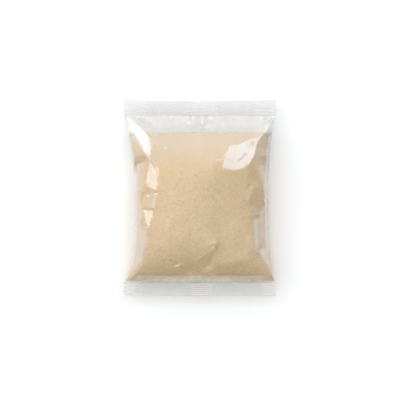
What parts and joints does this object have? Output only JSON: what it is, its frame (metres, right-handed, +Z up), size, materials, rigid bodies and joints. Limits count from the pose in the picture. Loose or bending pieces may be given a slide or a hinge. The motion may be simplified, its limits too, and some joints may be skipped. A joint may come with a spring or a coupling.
{
  "type": "packet of ginger powder",
  "caption": "Clear pillow pouch of pale ginger powder, crimped shut across both ends and lying on its back, with soft shoulder creases and clear film above the filling.",
  "frame": {"origin": "on the surface that the packet lies on, under the middle of its outline", "axes": "+X across the packet to its right edge, +Y along it to the top seal, +Z up out of the front panel"},
  "size_m": [0.12, 0.155, 0.0346],
  "materials": {
    "film": "clear, thin, glossy packing film over the powder, which gives it its colour",
    "powder": "dry, matt, fine ground ginger, pale cream tan with faint darker specks"
  },
  "bodies": {
    "root": {"packet": "film"}
  },
  "joints": []
}
